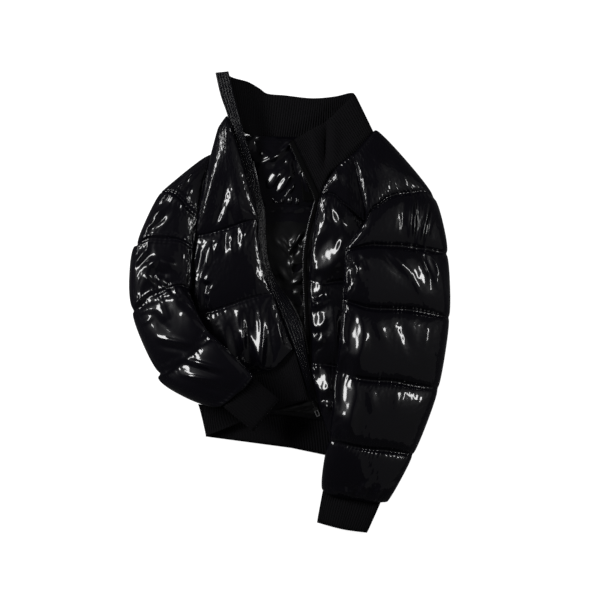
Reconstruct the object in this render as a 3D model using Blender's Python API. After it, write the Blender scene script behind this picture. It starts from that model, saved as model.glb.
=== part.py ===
"""A cropped puffer jacket with knitted rib bands, lying open on its back.

X runs across the jacket, from its right arm to its left arm. Y runs from the hem to the collar, and Z up from
the surface that it lies on. The tables are in millimetres, and the meshes in metres.

Every padded piece is a row of cross sections. A section runs in plan from point a to point b, with its middle
moved aside by bow, and it swells by thick about a height that goes from mid_a to mid_b. The pieces are laid in
order, and what is laid later rests on what is already there, GAP above it.
"""

import math
from collections import namedtuple

import bmesh
import bpy
from mathutils import Matrix, Vector
from mathutils.bvhtree import BVHTree

MM = 0.001
GAP = 0.3  # between a piece and what it rests on
SEAM = 0.9  # between the edges of two pieces that are sewn together

SHELL_EDGE = 6.0  # thickness of a padded panel where it is sewn
RIB_WALL = 4.0  # knitted rib, sewn double
LINING_WALL = 1.5
PLACKET_WALL = 3.0
TAPE_WALL = 1.2
SLEEVE_SLOT = 3.0  # height of the flattened hollow in a sleeve or cuff
SLOT_SHARE = 0.84  # share of the section's width that the hollow takes
ROUNDNESS = 2.6  # 2 is an ellipse, and more is squarer

Section = namedtuple("Section", "ax ay bx by bow thick mid_a mid_b")
Station = namedtuple("Station", "px py pz qx qy qz")

# The body. Sections run from the jacket's right (a) to its left (b), from the neck down.
BACK = (
    #        ax   ay    bx   by   bow thick mid_a mid_b
    Section(-62, 284, 138, 280, 0, 14, 7, 7),
    Section(-122, 235, 176, 228, 0, 26, 11, 11),
    Section(-157, 162, 203, 160, 0, 14, 6, 6),
    Section(-172, 95, 210, 95, 0, 26, 11, 11),
    Section(-176, 30, 211, 30, 0, 14, 6, 6),
    Section(-171, -35, 210, -35, 0, 26, 11, 11),
    Section(-158, -100, 204, -100, 0, 14, 6, 6),
    Section(-152, -148, 185, -165, 0, 24, 10, 10),
    Section(-148, -190, 150, -222, 8, 12, 5, 5),
)
BACK_RIB = (
    Section(-148, -191, 150, -223, 8, 9, 4.5, 4.5),
    Section(-148, -215, 151, -257, 6, 10, 5, 5),
    Section(-147, -237, 152, -288, 11, 7, 3.5, 3.5),
)
YOKE_LINING = (
    Section(-62, 282, 112, 278, 0, 0, 0, 0),
    Section(-60, 225, 120, 225, 0, 0, 0, 0),
    Section(-50, 176, 110, 168, -4, 0, 0, 0),
)
LINING_BAND = (
    Section(-54, 174, 112, 166.5, -4, 0, 0, 0),
    Section(-66, 149.5, 112, 149.5, 0, 0, 0, 0),
)
LOWER_LINING = (
    Section(-70, 148, 112, 148, 0, 0, 0, 0),
    Section(-70, 20, 112, 20, 0, 0, 0, 0),
    Section(-70, -90, 112, -90, 0, 0, 0, 0),
    Section(-78, -186, 100, -202, 3, 0, 0, 0),
)
LEFT_FACING = (
    Section(18, 256, 70, 256, 0, 0, 0, 0),
    Section(24, 176, 70, 176, 0, 0, 0, 0),
)
RIGHT_FRONT = (
    Section(-121, 306, -106, 311, 0, 10, 38, 44),
    Section(-125, 270, -92, 276, 0, 20, 38, 44),
    Section(-147, 206, -74, 214, 2, 40, 30, 46),
    Section(-160, 164, -60, 176, 3, 42, 26, 46),
    Section(-167, 114, -55, 146, -2, 20, 26, 44),
    Section(-170, 66, -52, 100, 0, 42, 26, 44),
    Section(-171, 25, -43, 50, 0, 40, 26, 44),
    Section(-166, -28, -29, 14, 1, 20, 26, 44),
    Section(-158, -90, -6, -44, -6, 40, 26, 44),
    Section(-150, -172, 9, -82, -14, 14, 24, 42),
)
RIGHT_FRONT_RIB = (
    Section(-150, -173, 10, -83, -14, 9, 26, 42),
    Section(-148, -206, 24, -134, -4, 10, 16, 39),
    Section(-146, -236, 36, -171, 8, 8, 13, 36),
)
LEFT_FRONT = (
    Section(54.5, 209, 122, 262, 0, 12, 46, 46),
    Section(53, 202, 152, 208, 0, 32, 44, 42),
    Section(52, 196, 164, 128, 0, 20, 42, 38),
    Section(46, 140, 180, 88, 0, 42, 40, 40),
    Section(38, 88, 190, 62, 2, 42, 40, 40),
    Section(36, 37, 194, 36, -3, 20, 38, 36),
    Section(38, -35, 194, -38, 0, 40, 40, 40),
    Section(40, -108, 188, -126, 0, 20, 36, 34),
    Section(50, -172, 178, -190, -3, 40, 36, 36),
    Section(73, -234, 163, -250, -6, 13, 32, 30),
)
LEFT_FRONT_RIB = (
    Section(73.4, -235.2, 163.4, -251.2, -6, 8, 32, 30),
    Section(84, -252, 162, -269, -3, 9, 24, 24),
    Section(92, -264, 160, -287, 0, 7, 18, 18),
)

# The sleeves. Sections run from the side by the body (a) to the far side (b), from the neck to the wrist.
RIGHT_SLEEVE_BESIDE_BODY = (
    Section(-129.5, 262, -148, 254, 0, 18, 16, 14),
    Section(-151, 206, -196, 217, -5, 50, 30, 24),
    Section(-164, 150, -221, 193, -8, 40, 28, 22),
    Section(-170.5, 121, -248, 148, -9, 66, 34, 28),
    Section(-173.5, 97, -265, 98, -11, 48, 30, 24),
    Section(-175.5, 58, -279, 50, -10, 72, 36, 30),
    Section(-176.5, 24, -271, -16, -13, 50, 34, 26),
)
RIGHT_SLEEVE_OVER_BODY = (
    Section(-163, -10, -257, -70, -3, 72, 62, 30),
    Section(-136, -54, -227, -129, 6, 50, 74, 32),
    Section(-96, -93, -193, -166, 4, 66, 84, 40),
    Section(-62, -126, -141, -187, 3, 40, 86, 54),
    Section(-61, -133, -116, -182, 0, 26, 82, 62),
)
RIGHT_CUFF = (
    Section(-60.5, -133.8, -115.5, -182.8, 0, 15, 80, 62),
    Section(-38, -152, -90, -204, 0, 16, 72, 56),
    Section(-17, -171, -62, -227, 0, 14, 62, 50),
)
LEFT_SLEEVE = (
    Section(117, 252, 157, 278, 0, 18, 52, 40),
    Section(122, 206, 204, 249, 4, 46, 66, 34),
    Section(137, 144, 253, 181, 24, 38, 68, 28),
    Section(113, 112, 271, 133, 17, 64, 72, 34),
    Section(99, 87, 276, 84, 12, 46, 70, 30),
    Section(95, 45, 281, 30, 5, 74, 78, 36),
    Section(94, 2, 280, -28, 0, 48, 72, 30),
    Section(88, -58, 273, -88, 0, 72, 78, 36),
    Section(82, -121, 261, -153, 0, 46, 70, 30),
    Section(76, -181, 240, -213, -2, 66, 68, 34),
    Section(72, -242, 217, -268, -4, 40, 50, 26),
    Section(60, -286, 196, -311, -5, 54, 28, 26),
    Section(60, -322, 171, -345, -8, 22, 14, 12),
)
LEFT_CUFF = (
    Section(60, -323, 170.8, -346, -8, 14, 9, 9),
    Section(56, -352, 156, -372, -4, 17, 8.5, 8.5),
    Section(51, -383, 140, -402, 0, 14, 7, 7),
)

# Bands. A station joins one edge (p) of the band to the other edge (q).
PLACKET = (
    # p is sewn to the right front, and q is the free edge over the zip
    Station(-129, 401, 40, -106, 403, 46),
    Station(-120, 362, 41, -97, 366, 47),
    Station(-108, 327, 43, -88, 331, 48),
    Station(-101, 297, 45, -79, 297, 48),
    Station(-84, 248, 48, -65, 248, 43),
    Station(-68, 196, 51, -52, 196, 37),
    Station(-56, 157, 52, -42, 157, 34.5),
    Station(-53, 117, 52, -41, 117, 34.5),
    Station(-49, 70, 52, -36, 70, 35),
    Station(-36, 29, 50, -19, 29, 36),
    Station(-22, -2, 48, 2, -2, 39),
    Station(-5, -46, 48, 22, -46, 42),
    Station(13, -93, 45, 32, -93, 41),
    Station(26, -133, 42, 40, -133, 39),
    Station(38, -172, 38, 47, -173, 36),
)
COLLAR = (
    # p is the free upper edge, and q the edge that is sewn to the body
    Station(-110, 398, 40.5, -94, 302, 41.5),
    Station(-96, 392, 34, -80, 299, 40),
    Station(-72, 386, 16, -66, 292, 32),
    Station(-52, 375, 8, -56, 287, 18),
    Station(-38, 366, 5, -44, 285.5, 10),
    Station(-7, 363, 4, -18, 285, 9),
    Station(40, 358, 4, 30, 284, 9),
    Station(80, 361, 5, 84, 283, 9),
    Station(106, 367, 9, 138, 284, 16),
    Station(114, 365, 18, 153, 283, 29),
    Station(109, 359, 27, 148, 281, 39),
    Station(88, 338, 34, 130, 272, 45),
    Station(65, 316, 40, 110, 256, 47),
    Station(38, 301, 44, 82, 233, 47),
    Station(9, 284, 47, 53, 211, 47),
)
LEFT_TAPE = (
    # p carries the teeth, and q is sewn to the collar's end and then to the left front
    Station(0.5, 278.9, 47, 8.2, 283.5, 47),
    Station(22.5, 242.4, 47, 30.2, 247.0, 47),
    Station(43, 204, 45, 51, 208, 46),
    Station(40, 172, 42, 46.5, 172, 42),
    Station(33.3, 130, 40, 39.7, 130, 40),
    Station(26, 85, 40, 32.5, 85, 40),
    Station(25.6, 37, 38, 32.1, 37, 38),
    Station(28.5, -35, 38, 35, -35, 38),
    Station(30.6, -108, 32, 37.1, -108, 32),
    Station(36, -150, 31, 42.4, -148.5, 31),
    Station(41.8, -177.2, 31, 47.5, -174.8, 31),
    Station(44.5, -183.7, 31, 50.2, -181.3, 31),
    Station(52.2, -202.1, 31, 57.9, -199.7, 31),
)
RIGHT_TAPE_ROWS = (2, 12)  # the placket's first and last station with tape under it
RIGHT_TAPE_UNDER = 4.0  # how much of its width the placket covers
RIGHT_TAPE_SHOWN = 5.0

# The zip's slider is parked at the bottom of the left tape. Its parts are set out along the tape from SLIDER_AT,
# with x across towards the left front, y up the zip, and z up.
SLIDER_AT = (47.2, -190.2, 31.0)
SLIDER_LEAN = math.radians(22.8)  # of the zip's last stretch from the Y axis
GRIP_SLOT = 2.2  # height of the slot that the tape runs in
GRIP_REACH = -0.7  # where the slot ends, beyond the tape's edge at 0
SLIDER_SIZE = (8.4, 10.0, 5.2)
BOX_SIZE = (6.6, 6.0, 4.4)
BOX_OFFSET = -8.5
LUG_SIZE = (1.8, 5.0, 3.8)  # the loop's lug, on top of the slider
LUG_OFFSET = -1.0
EYE_RADIUS = 1.2
EYE_SIDES = 16
LOOP_SIZE = (6.4, 10.5)
LOOP_BAR = 1.1
LOOP_DIP = math.radians(3)  # the loop leans down to the box from level

COLUMNS = 10  # spans across a padded section
STEPS = 2  # sections made from each pair of rows
NEARBY = ((0, 0), (2.5, 0), (-2.5, 0), (0, 2.5), (0, -2.5))  # where a height is looked for
PROBES = 5  # points along each side of a span where a piece is held off what is under it
SETTLE_PASSES = 12
SETTLED = 0.01


def lerp(a, b, t):
    return a + (b - a) * t


def curve_through(rows, steps):
    """The rows with steps - 1 more between each two, on a Catmull-Rom curve through every column."""
    kind = type(rows[0])
    made = []
    for i in range(len(rows) - 1):
        before, here = rows[max(i - 1, 0)], rows[i]
        after, beyond = rows[i + 1], rows[min(i + 2, len(rows) - 1)]
        for k in range(steps):
            t = k / steps
            made.append(
                kind(
                    *(
                        0.5
                        * (
                            2 * b
                            + (c - a) * t
                            + (2 * a - 5 * b + 4 * c - d) * t**2
                            + (3 * b - a - 3 * c + d) * t**3
                        )
                        for a, b, c, d in zip(before, here, after, beyond)
                    )
                )
            )
    return [*made, rows[-1]]


def plan_point(section, t):
    """The point in plan at share t of the section, on a parabola with its middle moved aside by bow."""
    dx, dy = section.bx - section.ax, section.by - section.ay
    length = max(math.hypot(dx, dy), 1e-6)
    aside = section.bow * 4 * t * (1 - t)
    x = lerp(section.ax, section.bx, t) - dy / length * aside
    y = lerp(section.ay, section.by, t) + dx / length * aside
    return x, y


class Pile:
    """The pieces that are already laid, to rest the next one on."""

    def __init__(self):
        self.trees = {}

    def add(self, obj):
        graph = bpy.context.evaluated_depsgraph_get()
        self.trees[obj.name] = BVHTree.FromObject(obj, graph)

    def height(self, x, y, names):
        """The top of the named pieces by x, y, in millimetres, or 0 for the surface that the jacket lies on."""
        top = 0.0
        for dx, dy in NEARBY:
            origin = Vector(((x + dx) * MM, (y + dy) * MM, 1.0))
            for name in names:
                hit = self.trees[name].ray_cast(origin, Vector((0, 0, -1)))[0]
                if hit is not None:
                    top = max(top, hit.z / MM)
        return top

    def settle(self, grid, names_of_row, clear=GAP):
        """Raise the points of a grid of [x, y, z] until no part of it is lower than clear above the pile."""
        for i, row in enumerate(grid):
            for point in row:
                top = self.height(point[0], point[1], names_of_row(i))
                point[2] = max(point[2], top + clear if top > 0 else 0.0)
        shares = [k / (PROBES - 1) for k in range(PROBES)]
        for _ in range(SETTLE_PASSES):
            worst = 0.0
            for i in range(len(grid) - 1):
                names = set(names_of_row(i)) | set(names_of_row(i + 1))
                for k in range(len(grid[i]) - 1):
                    corners = (grid[i][k], grid[i + 1][k], grid[i + 1][k + 1], grid[i][k + 1])
                    for u in shares:
                        for v in shares:
                            worst = max(worst, self.lift_cell(corners, u, v, names, clear))
            if worst < SETTLED:
                break

    def lift_cell(self, corners, u, v, names, clear):
        """Raise a cell's corners by what its surface lacks at shares u and v, and say how much that was."""
        weights = ((1 - u) * (1 - v), u * (1 - v), u * v, (1 - u) * v)
        x = sum(w * c[0] for w, c in zip(weights, corners))
        y = sum(w * c[1] for w, c in zip(weights, corners))
        top = self.height(x, y, names)
        if top <= 0:
            return 0.0
        z = [c[2] for c in corners]
        if u > v:
            first = z[0] + (z[1] - z[0]) * u + (z[2] - z[1]) * v
        else:
            first = z[0] + (z[2] - z[3]) * u + (z[3] - z[0]) * v
        if u + v < 1:
            second = z[0] + (z[1] - z[0]) * u + (z[3] - z[0]) * v
        else:
            second = z[2] + (z[3] - z[2]) * (1 - u) + (z[1] - z[2]) * (1 - v)
        lack = top + clear - min(first, second)
        if lack <= 0:
            return 0.0
        share = lack / sum(w * w for w in weights)
        for corner, weight in zip(corners, weights):
            corner[2] += share * weight
        return lack


def object_from(name, bm, material, sharp=math.radians(50)):
    bmesh.ops.recalc_face_normals(bm, faces=bm.faces)
    mesh = bpy.data.meshes.new(name)
    bm.to_mesh(mesh)
    bm.free()
    mesh.materials.append(material)
    mesh.shade_smooth()
    mesh.set_sharp_from_angle(angle=sharp)
    obj = bpy.data.objects.new(name, mesh)
    bpy.context.scene.collection.objects.link(obj)
    bpy.context.view_layer.update()
    return obj


def add_ring(bm, points):
    return [bm.verts.new((x * MM, y * MM, z * MM)) for x, y, z in points]


def skin(bm, rings):
    """Faces between each ring and the next."""
    for first, second in zip(rings, rings[1:]):
        for i in range(len(first)):
            j = (i + 1) % len(first)
            bm.faces.new((first[i], first[j], second[j], second[i]))


def fill_ring(bm, ring):
    """Faces across a ring whose first half is its top, from a to b, and whose second half comes back below."""
    for i in range(len(ring) // 2 - 1):
        bm.faces.new((ring[i], ring[i + 1], ring[-i - 2], ring[-i - 1]))


def shares_across():
    """Where the columns of a padded section stand, closer together at its ends."""
    return [(1 - math.cos(math.pi * k / COLUMNS)) / 2 for k in range(COLUMNS + 1)]


def bottom_and_top(section, edge, t):
    """The lowest and the highest point of a padded section at share t, before it is laid."""
    swell = (1 - abs(2 * t - 1) ** ROUNDNESS) ** (1 / ROUNDNESS)
    half = lerp(edge / 2, max(section.thick, edge) / 2, swell)
    middle = lerp(section.mid_a, section.mid_b, t)
    return middle - half, middle + half


def laid_layers(sections, edge, pile, names):
    """Grids of the underside and the top of a padded piece, settled on the pile."""
    shares = shares_across()
    under = [
        [[*plan_point(s, t), max(bottom_and_top(s, edge, t)[0], 0.0)] for t in shares]
        for s in sections
    ]
    pile.settle(under, names)
    over = [
        [
            [x, y, max(bottom_and_top(s, edge, t)[1], low + edge)]
            for t, (x, y, low) in zip(shares, row)
        ]
        for s, row in zip(sections, under)
    ]
    return under, over


def slot_ring(section, under, over):
    """The ring of the flattened hollow within a section, halfway between its underside and its top."""
    shares = shares_across()
    middles = [(low[2] + high[2]) / 2 for low, high in zip(under, over)]
    top, bottom = [], []
    for t in shares:
        inner = lerp(0.5, t, SLOT_SHARE)
        k = max(i for i in range(COLUMNS) if shares[i] <= inner)
        part = (inner - shares[k]) / (shares[k + 1] - shares[k])
        middle = lerp(middles[k], middles[k + 1], part)
        x, y = plan_point(section, inner)
        top.append((x, y, middle + SLEEVE_SLOT / 2))
        bottom.append((x, y, middle - SLEEVE_SLOT / 2))
    return top + bottom[::-1]


def lay_pad(name, rows, material, pile, under=(), edge=SHELL_EDGE, tube=False, meet=None):
    """A padded piece, or a flattened tube of padded cloth that is open at both ends.

    under names the pieces that it rests on, or gives those names for the number of a section. meet changes the
    sections before they are laid, so that an edge follows the edge that it is sewn to.
    """
    sections = curve_through(rows, STEPS)
    if meet:
        sections = [meet(section) for section in sections]
    names = under if callable(under) else lambda number: under
    low, high = laid_layers(sections, edge, pile, names)
    bm = bmesh.new()
    outer = [add_ring(bm, [*top, *bottom[::-1]]) for bottom, top in zip(low, high)]
    skin(bm, outer)
    if tube:
        slot_rows = range(0, len(sections), STEPS)
        inner = [add_ring(bm, slot_ring(sections[i], low[i], high[i])) for i in slot_rows]
        skin(bm, inner)
        skin(bm, (outer[0], inner[0]))
        skin(bm, (outer[-1], inner[-1]))
    else:
        fill_ring(bm, outer[0])
        fill_ring(bm, outer[-1])
    obj = object_from(name, bm, material)
    pile.add(obj)
    return obj


def lay_sheet(name, rows, material, pile, under, wall=LINING_WALL):
    """A sheet of even thickness that follows what it lies on."""
    sections = curve_through(rows, STEPS + 1)
    low = [[[*plan_point(s, k / COLUMNS), 0.0] for k in range(COLUMNS + 1)] for s in sections]
    pile.settle(low, lambda number: under)
    bm = bmesh.new()
    rings = [add_ring(bm, [*((x, y, z + wall) for x, y, z in row), *row[::-1]]) for row in low]
    skin(bm, rings)
    fill_ring(bm, rings[0])
    fill_ring(bm, rings[-1])
    obj = object_from(name, bm, material)
    pile.add(obj)
    return obj


def band_normal(station):
    """The upper side of a band at a station, in the upright plane across it."""
    across = Vector(station[3:]) - Vector(station[:3])
    along = Vector((across.y, -across.x, 0))
    normal = across.cross(along).normalized()
    return normal if normal.z > 0 else -normal


def lay_band(name, stations, material, pile, wall, under=(), across=2):
    """A strip of even thickness through the stations, as a closed wall."""
    grid = [
        [list(Vector(s[:3]).lerp(Vector(s[3:]), k / across)) for k in range(across + 1)]
        for s in stations
    ]
    pile.settle(grid, lambda number: under, wall / 2 + 2 * GAP)
    points = [[Vector(point) for point in row] for row in grid]
    bm = bmesh.new()
    rings = []
    for i, row in enumerate(points):
        after, before = points[min(i + 1, len(points) - 1)], points[max(i - 1, 0)]
        top, bottom = [], []
        for k, point in enumerate(row):
            along = after[k] - before[k]
            crosswise = row[min(k + 1, across)] - row[max(k - 1, 0)]
            offset = crosswise.cross(along).normalized() * (wall / 2)
            top.append(point + offset)
            bottom.append(point - offset)
        rings.append(add_ring(bm, top + bottom[::-1]))
    skin(bm, rings)
    fill_ring(bm, rings[0])
    fill_ring(bm, rings[-1])
    obj = object_from(name, bm, material)
    pile.add(obj)
    return obj


def at_y(line, y):
    """The x and z of a line of points where it passes y."""
    for first, second in zip(line, line[1:]):
        if min(first[1], second[1]) <= y <= max(first[1], second[1]):
            t = (y - first[1]) / (second[1] - first[1])
            return lerp(first[0], second[0], t), lerp(first[2], second[2], t)
    end = min((line[0], line[-1]), key=lambda point: abs(point[1] - y))
    return end[0], end[2]


def edge_beside(stations, side, wall):
    """A line beside a band's p edge (side -1) or q edge (side 1), far enough off for a seam."""
    line = []
    for s in stations:
        lean = abs(s.pz - s.qz) / math.dist(s[:3], s[3:])
        x, y, z = s[:3] if side < 0 else s[3:]
        line.append((x + side * (SEAM + lean * wall / 2), y, z))
    return line


def right_tape_stations(placket):
    """The right tape runs under the placket's free edge, and shows beyond it."""
    made = []
    drop = (PLACKET_WALL + TAPE_WALL) / 2 + SEAM
    for s in placket:
        out = (Vector(s[3:]) - Vector(s[:3])).normalized()
        below = Vector(s[3:]) - band_normal(s) * drop
        made.append(Station(*(below - out * RIGHT_TAPE_UNDER), *(below + out * RIGHT_TAPE_SHOWN)))
    return made


def extrude_outline(bm, outline, depth_axis, low, high):
    """A prism on an outline of (u, v) points, that runs from low to high along an axis of its own."""
    order = {"y": lambda u, v, d: (u, d, v), "x": lambda u, v, d: (d, u, v)}[depth_axis]
    first = add_ring(bm, [order(u, v, low) for u, v in outline])
    second = add_ring(bm, [order(u, v, high) for u, v in outline])
    skin(bm, (first, second))
    bm.faces.new(first)
    bm.faces.new(second)


def grip_block(name, size, offset, material):
    """A block with a slot along its side, where it grips the tape's edge."""
    half_x, half_y, half_z = (s / 2 for s in size)
    slot = GRIP_SLOT / 2
    outline = (
        (-half_x, -half_z),
        (half_x, -half_z),
        (half_x, -slot),
        (GRIP_REACH, -slot),
        (GRIP_REACH, slot),
        (half_x, slot),
        (half_x, half_z),
        (-half_x, half_z),
    )
    bm = bmesh.new()
    extrude_outline(bm, outline, "y", offset - half_y, offset + half_y)
    return object_from(name, bm, material, math.radians(30))


def lug_block(name, base_z, material):
    """The lug on the slider: a block with an eye through it, across the zip. It starts within the slider."""
    half_x, half_y = LUG_SIZE[0] / 2, LUG_SIZE[1] / 2
    centre = Vector((LUG_OFFSET, base_z + LUG_SIZE[2] / 2))
    bm = bmesh.new()
    sides = []
    for x in (-half_x, half_x):
        eye, frame = [], []
        for k in range(EYE_SIDES):
            angle = k * math.tau / EYE_SIDES
            way = Vector((math.cos(angle), math.sin(angle)))
            reach = min(
                half_y / max(abs(way.x), 1e-9), LUG_SIZE[2] / 2 / max(abs(way.y), 1e-9)
            )
            eye.append((x, *(centre + way * EYE_RADIUS)))
            frame.append((x, *(centre + way * reach)))
        sides.append((add_ring(bm, eye), add_ring(bm, frame)))
    (eye_a, frame_a), (eye_b, frame_b) = sides
    skin(bm, (eye_a, frame_a))
    skin(bm, (eye_b, frame_b))
    skin(bm, (eye_a, eye_b))
    skin(bm, (frame_a, frame_b))
    return object_from(name, bm, material, math.radians(30))


def pull_loop(name, material):
    """The slider's pull: a flat wire loop whose near bar passes through the eye, at 0."""
    half_x, half = LOOP_SIZE[0] / 2, LOOP_BAR / 2
    far = -LOOP_SIZE[1] + half
    outer = ((-half_x, half), (half_x, half), (half_x, far), (-half_x, far))
    inner_x, inner_far = half_x - LOOP_BAR, far + LOOP_BAR
    inner = ((-inner_x, -half), (inner_x, -half), (inner_x, inner_far), (-inner_x, inner_far))
    bm = bmesh.new()
    levels = []
    for z in (-half, half):
        levels.append([add_ring(bm, [(x, y, z) for x, y in ring]) for ring in (outer, inner)])
    (outer_low, inner_low), (outer_high, inner_high) = levels
    skin(bm, (outer_low, inner_low))
    skin(bm, (outer_high, inner_high))
    skin(bm, (outer_low, outer_high))
    skin(bm, (inner_low, inner_high))
    bmesh.ops.rotate(bm, verts=bm.verts, matrix=Matrix.Rotation(LOOP_DIP, 3, "X"))
    return object_from(name, bm, material, math.radians(30))


def make_zip_hardware(material):
    """The box at the end of the left tape, the slider over it, and the slider's loop."""
    place = Matrix.Translation(Vector(SLIDER_AT) * MM) @ Matrix.Rotation(SLIDER_LEAN, 4, "Z")
    slider = grip_block("zip_slider", SLIDER_SIZE, 0.0, material)
    box = grip_block("zip_box", BOX_SIZE, BOX_OFFSET, material)
    sunk = SLIDER_SIZE[2] / 2 - 0.8
    lug = lug_block("lug_shape", sunk, material)
    join = slider.modifiers.new("lug", "BOOLEAN")
    join.operation = "UNION"
    join.solver = "EXACT"
    join.object = lug
    lug.hide_render = True
    lug.display_type = "WIRE"
    for obj in (slider, box, lug):
        obj.matrix_world = place
    loop = pull_loop("zip_pull_loop", material)
    eye = Vector((0, LUG_OFFSET, sunk + LUG_SIZE[2] / 2)) * MM
    loop.matrix_world = place @ Matrix.Translation(eye)
    bpy.context.view_layer.update()


def make_material(name, colour, roughness, metallic=0.0):
    material = bpy.data.materials.new(name)
    material.use_nodes = True
    shader = material.node_tree.nodes["Principled BSDF"]
    shader.inputs["Base Color"].default_value = (*colour, 1)
    shader.inputs["Roughness"].default_value = roughness
    shader.inputs["Metallic"].default_value = metallic
    return material


def clear_scene():
    for obj in list(bpy.data.objects):
        bpy.data.objects.remove(obj)


def centre_on_origin():
    """Stand the jacket on z = 0 with the middle of its bounding box over the origin."""
    corners = [
        obj.matrix_world @ Vector(corner)
        for obj in bpy.data.objects
        if not obj.hide_render
        for corner in obj.bound_box
    ]
    low = Vector([min(corner[i] for corner in corners) for i in range(3)])
    high = Vector([max(corner[i] for corner in corners) for i in range(3)])
    shift = Vector((-(low.x + high.x) / 2, -(low.y + high.y) / 2, -low.z))
    for obj in bpy.data.objects:
        obj.location += shift
    bpy.context.view_layer.update()


def lay_back(pile, shell, rib, satin, tape):
    lay_pad("back_panel", BACK, shell, pile)
    lay_pad("back_hem_rib", BACK_RIB, rib, pile, edge=RIB_WALL)
    lay_sheet("yoke_lining", YOKE_LINING, shell, pile, ["back_panel"])
    lay_sheet("lining_band", LINING_BAND, tape, pile, ["back_panel", "yoke_lining"])
    lay_sheet("lower_lining", LOWER_LINING, satin, pile, ["back_panel"])
    lay_sheet("left_front_facing", LEFT_FACING, tape, pile, ["back_panel", "yoke_lining", "lining_band"])


def lay_fronts(pile, shell, rib, placket, tape_stations):
    lined_back = list(pile.trees)
    beside_placket = edge_beside(placket, -1, PLACKET_WALL)
    beside_tape = edge_beside(tape_stations, 1, TAPE_WALL)

    def meet_placket(section):
        x, z = at_y(beside_placket, section.by)
        return section._replace(bx=x, mid_b=z)

    def meet_tape(section):
        x, z = at_y(beside_tape, section.ay)
        return section._replace(ax=max(x, section.ax), mid_a=z)

    lay_pad("right_front_panel", RIGHT_FRONT, shell, pile, lined_back, meet=meet_placket)
    lay_pad("left_front_panel", LEFT_FRONT, shell, pile, lined_back, meet=meet_tape)
    lay_pad(
        "right_front_hem_rib",
        RIGHT_FRONT_RIB,
        rib,
        pile,
        lined_back,
        edge=RIB_WALL,
        meet=meet_placket,
    )
    lay_pad("left_front_hem_rib", LEFT_FRONT_RIB, rib, pile, lined_back, edge=RIB_WALL)


def main():
    clear_scene()
    shell = make_material("gloss_shell", (0.012, 0.012, 0.016), 0.16)
    rib = make_material("rib_knit", (0.018, 0.018, 0.020), 0.9)
    satin = make_material("satin_lining", (0.03, 0.03, 0.032), 0.4)
    tape = make_material("zip_tape", (0.015, 0.015, 0.016), 0.8)
    metal = make_material("dark_metal", (0.25, 0.25, 0.27), 0.3, 1.0)
    pile = Pile()
    placket = curve_through(PLACKET, STEPS)
    left_tape = curve_through(LEFT_TAPE, STEPS)

    lay_back(pile, shell, rib, satin, tape)
    lined_back = list(pile.trees)
    lay_fronts(pile, shell, rib, placket, left_tape)
    body = list(pile.trees)

    lay_band("right_placket", placket, shell, pile, PLACKET_WALL)
    first, last = (row * STEPS for row in RIGHT_TAPE_ROWS)
    right_tape = right_tape_stations(placket[first : last + 1])
    lay_band("right_zip_tape", right_tape, tape, pile, TAPE_WALL, lined_back, across=1)
    lay_band("left_zip_tape", left_tape, tape, pile, TAPE_WALL, lined_back, across=1)
    lay_band("collar", curve_through(COLLAR, STEPS), rib, pile, RIB_WALL, across=4)
    make_zip_hardware(metal)

    beside = (len(RIGHT_SLEEVE_BESIDE_BODY) - 1) * STEPS
    lay_pad(
        "right_sleeve",
        RIGHT_SLEEVE_BESIDE_BODY + RIGHT_SLEEVE_OVER_BODY,
        shell,
        pile,
        lambda number: body if number > beside else ["back_panel"],
        tube=True,
    )
    over = [*body, "right_placket", "right_zip_tape"]
    lay_pad("right_cuff", RIGHT_CUFF, rib, pile, over, edge=RIB_WALL, tube=True)
    lay_pad("left_sleeve", LEFT_SLEEVE, shell, pile, body, tube=True)
    lay_pad("left_cuff", LEFT_CUFF, rib, pile, edge=RIB_WALL, tube=True)
    centre_on_origin()


main()
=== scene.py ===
"""Looks of the puffer jacket: quilted coated nylon, rib knit, lining, placket and zip, on a pale floor.

The tables are in millimetres, with x across the jacket, y from the hem to the collar and z up. OFFSET moves
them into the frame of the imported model, whose origin is the middle of the jacket's box.
"""

import math
from collections import namedtuple

import bpy
import numpy as np
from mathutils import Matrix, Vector, noise
from mathutils.bvhtree import BVHTree


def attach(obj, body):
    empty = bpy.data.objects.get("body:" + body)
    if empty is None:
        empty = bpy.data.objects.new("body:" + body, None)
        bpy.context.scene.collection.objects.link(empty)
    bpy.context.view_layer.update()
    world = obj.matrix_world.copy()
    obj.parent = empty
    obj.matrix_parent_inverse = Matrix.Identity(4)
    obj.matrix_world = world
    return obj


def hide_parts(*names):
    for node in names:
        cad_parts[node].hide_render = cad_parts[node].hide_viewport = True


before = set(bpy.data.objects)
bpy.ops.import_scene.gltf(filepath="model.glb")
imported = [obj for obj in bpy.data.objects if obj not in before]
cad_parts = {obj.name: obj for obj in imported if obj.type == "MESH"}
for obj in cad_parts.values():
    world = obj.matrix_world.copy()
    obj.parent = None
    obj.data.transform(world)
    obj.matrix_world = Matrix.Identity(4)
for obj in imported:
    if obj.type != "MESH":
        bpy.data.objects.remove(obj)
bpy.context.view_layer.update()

MM = 0.001
OFFSET = np.array((-1.12, -0.53, 0.0))
BODY = "jacket"

# A padded piece is a run of rows from the neck down. A seam row is a quilted line, and a puff row is the
# crest between two of them. line runs from side a to side b, thick is the height of the pad there, and mid_a
# and mid_b are the heights of its middle at the two sides.
Row = namedtuple("Row", "kind line thick mid_a mid_b")
SEAM, PUFF = "seam", "puff"

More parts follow.
